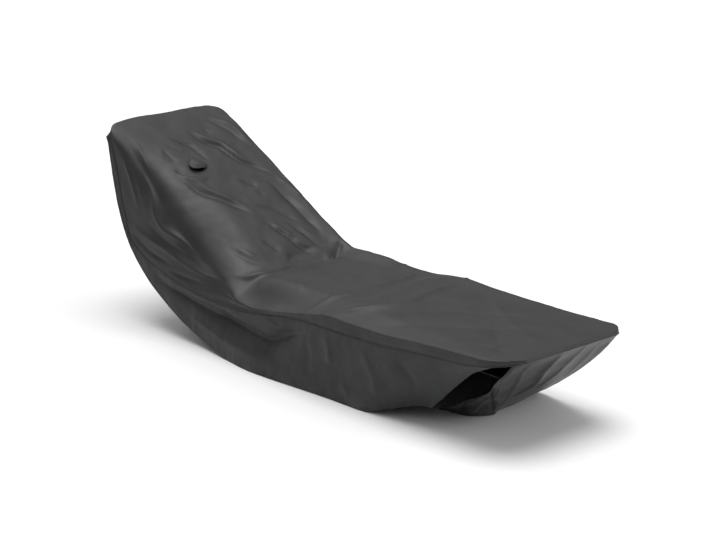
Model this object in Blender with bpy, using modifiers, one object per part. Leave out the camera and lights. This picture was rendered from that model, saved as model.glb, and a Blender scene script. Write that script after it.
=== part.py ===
"""Fitted cover for a slim lounge chair: a top panel sewn to two crescent side panels, a raked
foot end panel and a head back panel, with a small hooded vent high on the backrest.

Metres, +Z up. The foot points to +X and the near side to -Y. Lengths along the cover are
measured from the foot edge towards the head, and heights from the floor. The sheets hang
over a chair that isn't there, so every panel has the shape in which it drapes.
"""

import math

import bmesh
import bpy
import numpy as np
from mathutils import Vector

# Driving sizes
LENGTH = 2.232  # foot edge to head edge, along the floor
HALF_WIDTH = 0.300  # half the width at the foot and the seat
HEAD_HALF_WIDTH = 0.282  # half the width at the head edge
SHEET = 0.002  # thickness of the coated cloth
SEAM_GAP = 0.0003  # between two panels along their seam
CORNER_EASE = 0.0034  # more of it on each panel, where three meet at a rounded corner
NEAR_FOOT_RADIUS = 0.130  # corners of the top in plan
FAR_FOOT_RADIUS = 0.070
HEAD_RADIUS = 0.070
FOOT_TURNDOWN = 0.012  # how far the top panel folds down to the end seams
HEAD_TURNDOWN = 0.015
FAR_FALL = 0.080  # strip along the far edge where the height changes
SKIRT = 0.300  # run of the across measure that covers the turned-down side of the top
FAR_INSET_SHARE = 0.1  # the far edge stands in by only this share of the near one's inset
HEM_FLARE = 0.004  # the hem stands this far outside the seam above it
BACK_END = 1.500  # the head back panel ends here, lying on the floor
OPEN_CORNER = 0.710  # the near hem leaves the floor here, towards the foot,
OPEN_RUN = 0.300  # and over this length
OPEN_LIFT = 0.068  # it rises this far
OPEN_SWING = 0.078  # and swings in this far
OPEN_BOW = 0.030  # its free edge bows this far towards the head,
BOW_REACH = 0.300  # over this length of the panel
NEAR_SEWN = -0.200  # the near panel and the foot end panel are sewn to the top up to here,
END_SEWN = -0.510  # in the flat measures along and across; between them the corner is open
RAKE_BELLY = 0.030  # the raked far edge of the foot end bellies out this far
RAKE_LIFT = 0.020  # and ends this far off the floor
RAKE_START, RAKE_END = 0.360, 0.550  # the far hem comes down to the floor between these
CREST_START = 1.420  # the near edge of the top is rounded from here to the head
CREST_EASE = 0.200  # over this length the rounding grows to its full size
CREST_REACH = 0.120  # and it dies out this far from the edge
CREST_BLUR = 0.042  # the width over which it takes the middle of the cloth
ROLL_START = 1.300  # here the slope to the near edge stops levelling out towards it,
ROLL_EASE = 0.200  # which ends over this length
FOLD_END = 0.22  # share of a fold's length in which it dies out at each end

# One row for each cross section, from foot to head. near and far are the heights of the
# two long edges of the top, fall is the width in which the top slopes down to the near
# one, inset is how far both edges stand in from the side seams.
COLUMNS = ("station", "top", "near", "far", "fall", "inset", "seam_s", "seam_z", "hem_s", "hem_z")
SECTIONS = (
    (0.000, 0.343, 0.343, 0.343, 0.08, 0.000, 0.000, 0.318, 0.350, 0.000),
    (0.100, 0.341, 0.340, 0.341, 0.08, 0.000, 0.100, 0.312, 0.432, 0.000),
    (0.200, 0.338, 0.336, 0.339, 0.09, 0.000, 0.200, 0.298, 0.500, 0.000),
    (0.400, 0.335, 0.324, 0.336, 0.10, 0.000, 0.400, 0.284, 0.640, 0.000),
    (0.620, 0.334, 0.309, 0.337, 0.11, 0.000, 0.630, 0.264, 0.780, 0.000),
    (0.760, 0.337, 0.308, 0.343, 0.12, 0.000, 0.770, 0.259, 0.880, 0.000),
    (0.850, 0.338, 0.309, 0.338, 0.12, 0.000, 0.860, 0.257, 0.940, 0.000),
    (0.940, 0.327, 0.295, 0.325, 0.13, 0.000, 0.950, 0.256, 1.010, 0.000),
    (1.060, 0.322, 0.270, 0.322, 0.14, 0.000, 1.070, 0.249, 1.100, 0.000),
    (1.200, 0.320, 0.247, 0.332, 0.14, 0.002, 1.200, 0.230, 1.220, 0.000),
    (1.320, 0.311, 0.234, 0.331, 0.14, 0.006, 1.320, 0.212, 1.320, 0.000),
    (1.390, 0.305, 0.238, 0.330, 0.15, 0.014, 1.390, 0.205, 1.385, 0.002),
    (1.440, 0.328, 0.258, 0.345, 0.17, 0.022, 1.450, 0.201, 1.430, 0.005),
    (1.510, 0.372, 0.284, 0.380, 0.19, 0.027, 1.540, 0.198, 1.500, 0.014),
    (1.590, 0.420, 0.318, 0.424, 0.20, 0.028, 1.650, 0.207, 1.600, 0.035),
    (1.670, 0.468, 0.366, 0.470, 0.20, 0.026, 1.765, 0.224, 1.715, 0.072),
    (1.750, 0.516, 0.428, 0.517, 0.20, 0.024, 1.875, 0.252, 1.835, 0.128),
    (1.830, 0.562, 0.494, 0.562, 0.19, 0.022, 1.982, 0.284, 1.955, 0.200),
    (1.910, 0.608, 0.562, 0.608, 0.17, 0.020, 2.062, 0.340, 2.062, 0.302),
    (1.990, 0.652, 0.626, 0.652, 0.14, 0.016, 2.104, 0.440, 2.125, 0.410),
    (2.070, 0.697, 0.684, 0.697, 0.10, 0.010, 2.132, 0.547, 2.160, 0.520),
    (2.150, 0.739, 0.736, 0.739, 0.06, 0.004, 2.158, 0.650, 2.184, 0.630),
    (2.190, 0.759, 0.759, 0.759, 0.05, 0.000, 2.184, 0.715, 2.196, 0.695),
    (2.232, 0.775, 0.775, 0.775, 0.05, 0.000, 2.220, 0.760, 2.224, 0.748),
)

# Main folds of the top: the points that each follows as (distance from foot, distance
# across, near side negative), half its width, and its height, negative for a trough.
# Past HALF_WIDTH the distance across runs on down the turned-down side.
TOP_FOLDS = (
    (((0.85, -0.30), (0.73, -0.16), (0.71, 0.00), (0.74, 0.20), (0.78, 0.29)), 0.030, 0.007),
    (((0.99, -0.26), (0.97, 0.00), (0.98, 0.18), (1.06, 0.28)), 0.024, -0.005),
    (((1.41, -0.03), (1.45, 0.06), (1.45, 0.15)), 0.022, 0.012),
    (((1.39, 0.18), (1.46, 0.29)), 0.020, 0.012),
    (((1.96, -0.33), (1.87, -0.35), (1.78, -0.35), (1.68, -0.34), (1.57, -0.35)), 0.034, -0.020),
    (((1.92, -0.53), (1.85, -0.51), (1.76, -0.49), (1.64, -0.44), (1.55, -0.37)), 0.038, -0.013),
    (((2.09, 0.04), (2.00, 0.12), (1.93, 0.16), (1.82, 0.28)), 0.024, -0.006),
    (((2.13, 0.19), (2.04, 0.24), (1.90, 0.28)), 0.022, -0.005),
    (((1.61, 0.03), (1.54, 0.07), (1.49, 0.12)), 0.024, -0.007),
)
# Main folds of the near side panel: (distance from foot, height), half width, height
NEAR_FOLDS = (
    (((1.95, 0.235), (1.75, 0.165), (1.50, 0.135), (1.24, 0.125)), 0.050, -0.022),
    (((1.24, 0.125), (1.10, 0.190), (0.96, 0.245)), 0.030, -0.010),
    (((0.87, 0.250), (0.84, 0.120)), 0.025, 0.006),
)
# How far the near hem stands outside the edge above it, by distance from the foot
NEAR_FLARE = ((0.70, 0.85, 1.00, 1.15, 1.26, 1.42, 1.60), (0.004, 0.008, 0.019, 0.031, 0.036, 0.020, 0.004))
MIDDLE_SHIFT = (max(NEAR_FLARE[1]) - HEM_FLARE) / 2  # the near hem reaches further out
# The foot end panel in plan, (distance from foot, across), at shares of its drop and of the
# way from its far, raked edge to its near one. Its near edge is loose: lower down it turns
# round a fold and runs back under the leg.
END_COLUMNS = (0.45, 0.78, 0.85, 0.92, 1.00)
END_LEVELS = (
    (0.15, ((0.052, 0.060), (0.053, -0.140), (0.056, -0.175), (0.060, -0.210), (0.062, -0.236))),
    (0.33, ((0.115, 0.070), (0.117, -0.100), (0.122, -0.135), (0.128, -0.172), (0.134, -0.203))),
    (0.48, ((0.166, 0.080), (0.168, -0.068), (0.173, -0.100), (0.182, -0.130), (0.196, -0.153))),
    (0.66, ((0.229, 0.095), (0.229, -0.030), (0.232, -0.062), (0.252, -0.092), (0.290, -0.125))),
    (0.84, ((0.292, 0.110), (0.291, 0.006), (0.292, -0.024), (0.335, -0.068), (0.405, -0.108))),
    (1.00, ((0.370, 0.130), (0.364, 0.050), (0.348, 0.016), (0.407, -0.062), (0.515, -0.087))),
)

# Hooded vent, on the backrest
VENT_CENTRE = (1.924, -0.055)
VENT_HALF_SPAN = 0.046
VENT_HALF_DEPTH = 0.030
VENT_RISE = 0.018
VENT_SWEEP = math.radians(150)  # the hood comes back down towards its mouth
VENT_FACING = math.radians(48)  # its mouth turns from downhill towards the near side
VENT_BARE_ENDS = 0.22  # the hood stops short of its two pointed corners, in radians
VENT_STAND = 0.0017  # its foot stands this far over the middle of the top panel's cloth
VENT_RIM = 0.005  # cloth left between the hole under the hood and the lines of the mesh

# Mesh stations: rows run along the cover, columns across it
LEG_ROWS = np.arange(0.00, 0.65, 0.06)
KNEE_ROWS = np.arange(0.65, 1.03, 0.03)
SEAT_ROWS = np.arange(1.06, 1.34, 0.06)
CREASE_ROWS = np.arange(1.352, 1.51, 0.03)
BACK_ROWS = np.linspace(1.53, LENGTH, 18)
END_ROWS = np.array([SKIRT, SKIRT / 2])
TOP_ROWS = np.concatenate([LEG_ROWS, KNEE_ROWS, SEAT_ROWS, CREASE_ROWS, BACK_ROWS])
ROWS = np.concatenate([-END_ROWS, TOP_ROWS, LENGTH + END_ROWS[::-1]])
NEAR_COLUMNS = np.linspace(-HALF_WIDTH - SKIRT, -HALF_WIDTH, 7)
TOP_COLUMNS = np.linspace(-HALF_WIDTH, HALF_WIDTH, 17)
FAR_COLUMNS = np.linspace(HALF_WIDTH, HALF_WIDTH + SKIRT, 5)
ACROSS = np.concatenate([NEAR_COLUMNS[:-1], TOP_COLUMNS, FAR_COLUMNS[1:]])
DROP = np.linspace(0.0, 1.0, 8)  # shares of the way from a seam down to the hem

CLOTH_COLOUR = (0.055, 0.056, 0.058, 1.0)
CLOTH_ROUGHNESS = 0.85


def through(values, xs, ys):
    """A smooth curve through the points (xs, ys) that never overshoots them."""
    xs, ys = np.asarray(xs, float), np.asarray(ys, float)
    rise = np.diff(ys) / np.diff(xs)
    slope = np.concatenate([rise[:1], np.zeros(len(xs) - 2), rise[-1:]])
    before, after = rise[:-1], rise[1:]
    same = before * after > 0
    slope[1:-1][same] = 2 * before[same] * after[same] / (before[same] + after[same])
    i = np.clip(np.searchsorted(xs, values, side="right") - 1, 0, len(xs) - 2)
    width = xs[i + 1] - xs[i]
    t = np.clip((values - xs[i]) / width, 0, 1)
    start = (1 + 2 * t) * (1 - t) ** 2 * ys[i] + t * (1 - t) ** 2 * width * slope[i]
    end = t * t * (3 - 2 * t) * ys[i + 1] + t * t * (t - 1) * width * slope[i + 1]
    return start + end


def section(name, station):
    """One column of SECTIONS at any distance from the foot."""
    table = np.array(SECTIONS)
    return through(station, table[:, 0], table[:, COLUMNS.index(name)])


def fade(share):
    """1 at 0, easing to 0 at 1 and beyond."""
    share = np.clip(share, 0, 1)
    return (1 - share) ** 2 * (1 + 2 * share)


def half_width(station):
    """The cover narrows towards the head."""
    return through(station, (0, 1.3, 1.7, LENGTH), (HALF_WIDTH, HALF_WIDTH, 0.295, HEAD_HALF_WIDTH))


def normals(grid):
    """Unit normals of a grid of points, on the side that faces out of the cover."""
    along = np.gradient(grid, axis=0)
    across = np.gradient(grid, axis=1)
    normal = np.cross(along, across)
    length = np.linalg.norm(normal, axis=2, keepdims=True)
    return normal / np.maximum(length, 1e-9)


def distance_to(path, u, v):
    """Distance in the (u, v) plane to a smooth path, and how far along it that is, 0 to 1."""
    path = np.array(path)
    keys = np.linspace(0, 1, len(path))
    shares = np.linspace(0, 1, 41)
    path_u = through(shares, keys, path[:, 0])
    path_v = through(shares, keys, path[:, 1])
    gaps = np.hypot(u[..., None] - path_u, v[..., None] - path_v)
    nearest = gaps.argmin(axis=-1)
    return gaps.min(axis=-1), shares[nearest]


def fold_heights(folds, u, v):
    """Sum of soft ridges and troughs that die out at both ends."""
    height = np.zeros_like(u)
    for path, half, peak in folds:
        gap, share = distance_to(path, u, v)
        ends = fade(1 - np.minimum(share, 1 - share) / FOLD_END)
        height += peak * np.exp(-((gap / half) ** 2)) * ends
    return height


def to_world(s, y, z):
    """Distance from the foot, across and height as a point. The origin is on the floor,
    under the middle of the cover's length and of its widest points."""
    return np.stack(np.broadcast_arrays(LENGTH / 2 - s, y + MIDDLE_SHIFT, z), axis=-1)


def top_grid(rows, across):
    """The top panel: rows and across are distances in the flat cloth. Past the outline of
    the top, the cloth hangs from its edge down to the seam."""
    a, b = np.meshgrid(rows, across, indexing="ij")
    at_foot = a < LENGTH / 2
    radius = np.where(at_foot, np.where(b < 0, NEAR_FOOT_RADIUS, FAR_FOOT_RADIUS), HEAD_RADIUS)
    from_end = np.where(at_foot, a, LENGTH - a)
    from_side = HALF_WIDTH - np.abs(b)
    # p and q are 0 where a corner's arc starts and 1 on the outline
    p = np.maximum(1 - from_end / radius, 0)
    q = np.maximum(1 - from_side / radius, 0)
    reach = np.maximum(np.maximum(p, q), 1)
    over = (reach - 1) * radius / SKIRT
    p, q = p / reach, q / reach
    from_end = np.where(p > 0, radius * (1 - p * np.sqrt(1 - q * q / 2)), from_end)
    from_side = np.where(q > 0, radius * (1 - q * np.sqrt(1 - p * p / 2)), from_side)
    sideways = 1 - fade((q - p + 1) / 2)
    s = np.where(at_foot, from_end, LENGTH - from_end)
    side = np.sign(b)
    nominal = side * (HALF_WIDTH - from_side)

    half = half_width(s)
    inset = section("inset", s) * np.where(b < 0, 1, FAR_INSET_SHARE)
    y = nominal * (half - inset) / HALF_WIDTH
    top = section("top", s)
    near = (section("near", s) - top) * roll((HALF_WIDTH + nominal) / section("fall", s), s)
    far = (section("far", s) - top) * fade((HALF_WIDTH - nominal) / FAR_FALL)
    z = top + near + far

    end_drop = np.where(at_foot, FOOT_TURNDOWN, HEAD_TURNDOWN)
    drop = sideways * (z - section("seam_z", s)) + (1 - sideways) * end_drop
    s_hung = s + over * sideways * (section("seam_s", s) - s)
    y_hung = y + over * sideways * side * (half_width(s_hung) - half + inset)
    grid = to_world(s_hung, y_hung, z - over * drop)
    grid = soften_crest(grid, rows, across)
    height = fold_heights(TOP_FOLDS, a, b)
    return grid + normals(grid) * height[..., None], s


def roll(share, station):
    """The slope down to the near edge: on the backrest it rolls over the edge, and towards
    the foot it levels out again before it."""
    level = fade((station - ROLL_START) / ROLL_EASE)
    share = np.clip(share, 0, 1)
    return (1 - share) ** 2 * (1 + 2 * share * level)


def soften_crest(grid, rows, across):
    """The grid with the near edge of the backrest rounded: each point there moves towards
    the middle of the cloth around it."""
    weight = (1 - fade((rows - CREST_START) / CREST_EASE))[:, None, None]
    reach = np.exp(-(((across + HALF_WIDTH) / CREST_REACH) ** 4))[None, :, None]
    blur = np.exp(-(((across[:, None] - across) / CREST_BLUR) ** 2) / 2) * np.gradient(across)
    blur /= blur.sum(axis=1, keepdims=True)
    return grid + weight * reach * (np.einsum("jk,ikc->ijc", blur, grid) - grid)


def hem_line(station, side):
    """Where the bottom edge of a side panel runs, from the station of the edge above it."""
    s = section("hem_s", station)
    z = np.maximum(section("hem_z", station), SHEET / 2)
    if side > 0:
        z = z + RAKE_LIFT * fade((s - RAKE_START) / (RAKE_END - RAKE_START))
        return to_world(s, half_width(s) + HEM_FLARE, z)
    # The near side is open at the foot: its corner swings in and off the floor
    loose = fade(1 - (OPEN_CORNER - s) / OPEN_RUN)
    y = OPEN_SWING * loose - half_width(s) - through(s, *NEAR_FLARE)
    return to_world(s, y, z + OPEN_LIFT * loose)


def station_of(points):
    return LENGTH / 2 - points[:, 0]


def across_of(points):
    return points[:, 1] - MIDDLE_SHIFT


def side_grid(top, stations, side):
    """A crescent between the top panel's seam and the hem, with the stations of its rows.
    Rows of the result run along the cover, its columns from the seam down."""
    column = 0 if side < 0 else -1
    sewn = ROWS > (NEAR_SEWN if side < 0 else -LENGTH)
    seam, edge = top[sewn, column], stations[sewn, column]
    hem = hem_line(edge, side)
    share = DROP[None, :, None]
    grid = seam[:, None] * (1 - share) + hem[:, None] * share
    if side > 0:
        # The raked edge bellies out towards the foot
        belly = RAKE_BELLY * fade(edge / RAKE_START)
        grid[..., 0] += belly[:, None] * 4 * DROP * (1 - DROP)
    else:
        u = LENGTH / 2 - grid[..., 0]
        height = fold_heights(NEAR_FOLDS, u, grid[..., 2])
        ends = np.minimum(DROP, 1 - DROP)[None, :] * 4
        height *= np.clip(ends, 0, 1)
        grid[..., 1] -= height
        bow = OPEN_BOW * fade((edge - edge[0]) / BOW_REACH)
        grid[..., 0] -= bow[:, None] * through(DROP, (0.0, 0.2, 1.0), (0.0, 1.0, 0.0))
    return grid, edge


def end_grid(top, rake):
    """The foot end panel, from the foot seam down to the floor. Its far edge follows the
    raked edge of the far side panel."""
    seam = top[0, ACROSS > END_SEWN][::-1]
    run = np.concatenate([[0], np.cumsum(np.linalg.norm(np.diff(seam, axis=0), axis=1))])
    column = run / run[-1]
    keys = [0.0] + [level[0] for level in END_LEVELS]
    s_levels = [station_of(seam)]
    y_levels = [across_of(seam)]
    for level, points in END_LEVELS:
        s_points, y_points = np.array(points).T
        s_rake = through(level, DROP, station_of(rake))
        y_rake = through(level, DROP, across_of(rake))
        s_levels.append(through(column, (0, *END_COLUMNS), (s_rake, *s_points)))
        y_levels.append(through(column, (0, *END_COLUMNS), (y_rake, *y_points)))
    s = np.array([through(DROP, keys, line) for line in np.array(s_levels).T])
    y = np.array([through(DROP, keys, line) for line in np.array(y_levels).T])
    bottom = np.maximum(rake[-1, 2] * fade(column / 0.5), SHEET / 2)
    z = seam[:, 2:] * (1 - DROP) + bottom[:, None] * DROP
    grid = to_world(s, y, z)
    grid[0] = rake
    return grid


def back_grid(top, near, far, near_edge, far_edge):
    """The head back panel, from the head seam down and under along both hull edges."""
    seam = top[-1]
    run = np.concatenate([[0], np.cumsum(np.linalg.norm(np.diff(seam, axis=0), axis=1))])
    share = run / run[-1]
    near_hem = near[near_edge > BACK_END - 0.01][::-1, -1]
    far_hem = far[far_edge > BACK_END - 0.01][::-1, -1]
    rows = [seam]
    count = len(near_hem)
    for i in range(count):
        rows.append(near_hem[i] * (1 - share)[:, None] + far_hem[i] * share[:, None])
    return np.array(rows)


def unit(vectors):
    return vectors / np.linalg.norm(vectors, axis=1, keepdims=True)


def open_seam(first, first_inner, second, second_inner, ease=0.0):
    """Draw two panels back from the seam that they share, far enough for their thickness
    at the angle in which they meet. The four are lines of points, changed in place."""
    along = unit(np.gradient(first, axis=0))
    into_first = unit(first_inner - first)
    into_second = unit(second_inner - second)
    square_first = into_first - along * (into_first * along).sum(axis=1, keepdims=True)
    square_second = into_second - along * (into_second * along).sum(axis=1, keepdims=True)
    cosine = (unit(square_first) * unit(square_second)).sum(axis=1)
    half_angle = np.arccos(np.clip(cosine, -1, 0.8)) / 2
    back = (SEAM_GAP + ease + SHEET / 2 / np.tan(half_angle))[:, None]
    first += into_first * back / np.linalg.norm(square_first, axis=1, keepdims=True)
    second += into_second * back / np.linalg.norm(square_second, axis=1, keepdims=True)


def open_hull(side, back):
    """Part a side panel from the head back panel, whose first column meets it: along the
    hull, and between the head seam and the hull, where the side panel ends."""
    hull = len(back) - 1
    open_seam(side[-hull:, -1], side[-hull:, -2], back[:0:-1, 0], back[:0:-1, 1], SEAM_GAP)
    corner, inner = (back[:1, column].repeat(len(DROP), 0) for column in (0, 1))
    open_seam(side[-1], side[-2], corner, inner, CORNER_EASE)
    back[0, 0] = corner[0]


def cloth_material(name):
    material = bpy.data.materials.new(name)
    material.use_nodes = True
    shader = material.node_tree.nodes["Principled BSDF"]
    shader.inputs["Base Color"].default_value = CLOTH_COLOUR
    shader.inputs["Roughness"].default_value = CLOTH_ROUGHNESS
    shader.inputs["Metallic"].default_value = 0.0
    return material


def sheet(name, grid, collection, hole=None):
    """A grid primitive whose points take the places in `grid`, thickened both ways. The
    cell nearest to `hole` is cut out, but for a rim."""
    rows, columns = grid.shape[:2]
    work = bmesh.new()
    bmesh.ops.create_grid(work, x_segments=rows - 1, y_segments=columns - 1, size=1)
    for vertex in work.verts:
        i = round((vertex.co.x + 1) / 2 * (rows - 1))
        j = round((vertex.co.y + 1) / 2 * (columns - 1))
        vertex.co = grid[i, j]
    if hole is not None:
        centre = Vector(hole)
        cell = min(work.faces, key=lambda face: (face.calc_center_median() - centre).length)
        bmesh.ops.inset_individual(work, faces=[cell], thickness=VENT_RIM)
        bmesh.ops.delete(work, geom=[cell], context="FACES")
    mesh = bpy.data.meshes.new(name)
    work.to_mesh(mesh)
    work.free()
    mesh.shade_smooth()
    panel = bpy.data.objects.new(name, mesh)
    panel.data.materials.append(cloth_material(name + "_cloth"))
    collection.objects.link(panel)
    solid = panel.modifiers.new("thickness", "SOLIDIFY")
    solid.thickness = SHEET
    solid.offset = 0
    return panel


def vent_grid():
    """Part of an ellipsoid on the backrest, sewn down around its uphill side and open
    under the edge of its downhill side."""
    angles = np.linspace(VENT_BARE_ENDS, math.pi - VENT_BARE_ENDS, 13)
    sweep = np.linspace(0, VENT_SWEEP, 9)
    angle, lift = np.meshgrid(angles, sweep, indexing="ij")
    span = VENT_HALF_SPAN * np.cos(angle)
    depth = -VENT_HALF_DEPTH * np.sin(angle) * np.cos(lift)
    rise = VENT_RISE * np.sin(angle) * np.sin(lift)
    turn_cos, turn_sin = math.cos(VENT_FACING), math.sin(VENT_FACING)
    s = VENT_CENTRE[0] - depth * turn_cos + span * turn_sin
    y = VENT_CENTRE[1] - depth * turn_sin - span * turn_cos
    slope = (section("top", s + 0.01) - section("top", s - 0.01)) / 0.02
    tilt = np.arctan(slope)
    height = VENT_STAND + rise
    return to_world(s - height * np.sin(tilt), y, section("top", s) + height * np.cos(tilt))


def build():
    for old in list(bpy.data.objects):
        bpy.data.objects.remove(old)
    collection = bpy.data.collections.new("lounge_chair_cover")
    bpy.context.scene.collection.children.link(collection)

    top, stations = top_grid(ROWS, ACROSS)
    near, near_edge = side_grid(top, stations, -1)
    far, far_edge = side_grid(top, stations, 1)
    end = end_grid(top, far[0].copy())
    back = back_grid(top, near, far, near_edge, far_edge)

    sewn = len(ROWS) - len(near)
    ease = CORNER_EASE / 4 * (ROWS > LENGTH - HEAD_RADIUS)
    open_seam(top[sewn:, 0], top[sewn:, 1], near[:, 0], near[:, 1], ease[sewn:])
    open_seam(top[:, -1], top[:, -2], far[:, 0], far[:, 1], ease)
    free = len(ACROSS) - len(end)
    open_seam(top[0, free:], top[1, free:], end[::-1, 0], end[::-1, 1])
    open_seam(top[-1], top[-2], back[0], back[1])
    open_seam(far[0], far[1], end[0], end[1])
    open_hull(near, back)
    open_hull(far, back[:, ::-1])

    hole = to_world(*VENT_CENTRE, section("top", VENT_CENTRE[0]))
    sheet("top_panel", top, collection, hole)
    sheet("side_panel_near", near, collection)
    sheet("side_panel_far", far[:, ::-1], collection)
    sheet("foot_end_panel", end, collection)
    sheet("head_back_panel", back, collection)
    sheet("vent_hood", vent_grid(), collection)


build()
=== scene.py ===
"""Looks of the lounge chair cover: every panel is made again as a fine sheet of coated
polyester with its folds, seams, hems and stitches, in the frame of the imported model.

Metres, +Z up, the foot towards +X, the near side towards -Y. As in the part, distances
along the cover run from the foot edge to the head, and the flat measure across runs on down
the turned-down sides of the top panel.
"""

import math

import bpy
import numpy as np
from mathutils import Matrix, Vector, noise


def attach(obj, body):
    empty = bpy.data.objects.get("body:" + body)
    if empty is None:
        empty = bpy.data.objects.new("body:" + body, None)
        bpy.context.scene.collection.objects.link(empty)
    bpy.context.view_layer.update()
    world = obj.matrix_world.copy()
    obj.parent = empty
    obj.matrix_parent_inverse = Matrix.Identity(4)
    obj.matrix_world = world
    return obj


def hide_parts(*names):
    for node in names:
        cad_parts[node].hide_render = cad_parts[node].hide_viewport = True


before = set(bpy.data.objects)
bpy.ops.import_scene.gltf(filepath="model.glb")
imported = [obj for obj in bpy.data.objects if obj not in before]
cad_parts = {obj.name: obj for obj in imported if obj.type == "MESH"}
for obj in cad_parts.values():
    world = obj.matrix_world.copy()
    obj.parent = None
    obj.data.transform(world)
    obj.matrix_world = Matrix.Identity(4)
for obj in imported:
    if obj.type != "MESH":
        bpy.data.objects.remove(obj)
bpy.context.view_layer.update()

# ---- sizes, as in the part but where a line says so
LENGTH = 2.232  # foot edge to head edge, along the floor
HALF_WIDTH = 0.300  # half the width at the foot and the seat
HEAD_HALF_WIDTH = 0.282  # half the width at the head edge
BACK_HALF_WIDTH = 0.295  # half the width a little up the backrest
NEAR_FOOT_RADIUS = 0.130  # corners of the top in plan
FAR_FOOT_RADIUS = 0.070
HEAD_RADIUS = 0.070
FOOT_TURNDOWN = 0.012  # how far the top panel folds down to the end seams
HEAD_TURNDOWN = 0.015
FOOT_SPREAD = 0.006  # the foot's turned-down band stands out so far at its seam, only here
FAR_FALL = 0.080  # strip along the far edge where the height changes
SKIRT = 0.300  # run of the across measure that covers the turned-down side of the top
FAR_INSET_SHARE = 0.1  # the far edge stands in by only this share of the near one's inset
HEM_FLARE = 0.004  # the hem stands this far outside the seam above it
BACK_END = 1.500  # the head back panel ends here, lying on the floor
OPEN_CORNER = 0.710  # the near hem leaves the floor here, towards the foot,
OPEN_RUN = 0.300  # and over this length
OPEN_LIFT = 0.068  # it rises this far
OPEN_SWING = 0.078  # and swings in this far
OPEN_BOW = 0.030  # its free edge bows this far towards the head,
BOW_REACH = 0.300  # over this length of the panel,
BOW_SHAPE = ((0.0, 0.2, 1.0), (0.0, 1.0, 0.0))  # so much of it by share of the drop
RAKE_BELLY = 0.030  # the raked far edge of the foot end bellies out this far
RAKE_LIFT = 0.020  # and ends this far off the floor
RAKE_SETTLE = 0.5  # its hem comes down to the floor over this share of the foot end
RAKE_START, RAKE_END = 0.360, 0.550  # the far hem comes down to the floor between these
CREST_START = 1.420  # the near edge of the top is rounded from here to the head
CREST_EASE = 0.200  # over this length the rounding grows to its full size
CREST_REACH = 0.200  # and it dies out this far from the edge, further than in the part
CREST_BLUR = 0.072  # width over which it takes the middle of the cloth, more than in the part
ROLL_START = 1.300  # here the slope to the near edge stops levelling out towards it,
ROLL_EASE = 0.200  # which ends over this length
NEAR_FREE = -0.160  # the near panel and the foot end panel are sewn to the top up to here,
END_FREE = -0.505  # in the flat measures along and across; between them the corner is open

# One row for each cross section, from foot to head. near and far are the heights of the top's
# two long edges, fall is the width in which it slopes down to the near one, inset is how far
# the near one stands in, and the rest is where the side seam and the hem below it run.
COLUMNS = ("station", "top", "near", "far", "fall", "inset", "seam_s", "seam_z", "hem_s", "hem_z")
SECTIONS = (
    (0.000, 0.343, 0.343, 0.343, 0.08, 0.000, 0.000, 0.318, 0.350, 0.000),
    (0.100, 0.341, 0.340, 0.341, 0.08, 0.000, 0.100, 0.312, 0.432, 0.000),
    (0.200, 0.338, 0.336, 0.339, 0.09, 0.000, 0.200, 0.298, 0.500, 0.000),
    (0.400, 0.335, 0.324, 0.336, 0.10, 0.000, 0.400, 0.284, 0.640, 0.000),
    (0.620, 0.334, 0.309, 0.337, 0.11, 0.000, 0.630, 0.264, 0.780, 0.000),
    (0.760, 0.337, 0.308, 0.343, 0.12, 0.000, 0.770, 0.259, 0.880, 0.000),
    (0.850, 0.338, 0.309, 0.338, 0.12, 0.000, 0.860, 0.257, 0.940, 0.000),
    (0.940, 0.327, 0.295, 0.325, 0.13, 0.000, 0.950, 0.256, 1.010, 0.000),
    (1.060, 0.322, 0.270, 0.322, 0.14, 0.000, 1.070, 0.249, 1.100, 0.000),
    (1.200, 0.320, 0.247, 0.332, 0.14, 0.002, 1.200, 0.230, 1.220, 0.000),
    (1.320, 0.311, 0.234, 0.331, 0.14, 0.006, 1.320, 0.212, 1.320, 0.000),
    (1.390, 0.305, 0.238, 0.330, 0.15, 0.014, 1.390, 0.205, 1.385, 0.002),
    (1.440, 0.328, 0.258, 0.345, 0.17, 0.022, 1.450, 0.201, 1.430, 0.005),
    (1.510, 0.372, 0.284, 0.380, 0.19, 0.027, 1.540, 0.198, 1.500, 0.014),
    (1.590, 0.420, 0.318, 0.424, 0.20, 0.028, 1.650, 0.207, 1.600, 0.035),
    (1.670, 0.468, 0.366, 0.470, 0.20, 0.026, 1.765, 0.224, 1.715, 0.072),
    (1.750, 0.516, 0.428, 0.517, 0.20, 0.024, 1.875, 0.252, 1.835, 0.128),
    (1.830, 0.562, 0.494, 0.562, 0.19, 0.022, 1.982, 0.284, 1.955, 0.200),
    (1.910, 0.608, 0.562, 0.608, 0.17, 0.020, 2.062, 0.340, 2.062, 0.302),
    (1.990, 0.652, 0.626, 0.652, 0.14, 0.016, 2.104, 0.440, 2.125, 0.410),
    (2.070, 0.697, 0.684, 0.697, 0.10, 0.010, 2.132, 0.547, 2.160, 0.520),
    (2.150, 0.739, 0.736, 0.739, 0.06, 0.004, 2.158, 0.650, 2.184, 0.630),
    (2.190, 0.759, 0.759, 0.759, 0.05, 0.000, 2.184, 0.715, 2.196, 0.695),
    (2.232, 0.775, 0.775, 0.775, 0.05, 0.000, 2.220, 0.760, 2.224, 0.748),
)

# How far the near hem stands outside the edge above it, by distance from the foot
NEAR_FLARE = (
    (0.70, 0.85, 1.00, 1.15, 1.26, 1.42, 1.60),
    (0.004, 0.008, 0.019, 0.031, 0.036, 0.020, 0.004),
)
MIDDLE_SHIFT = (max(NEAR_FLARE[1]) - HEM_FLARE) / 2  # the near hem reaches further out
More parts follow.
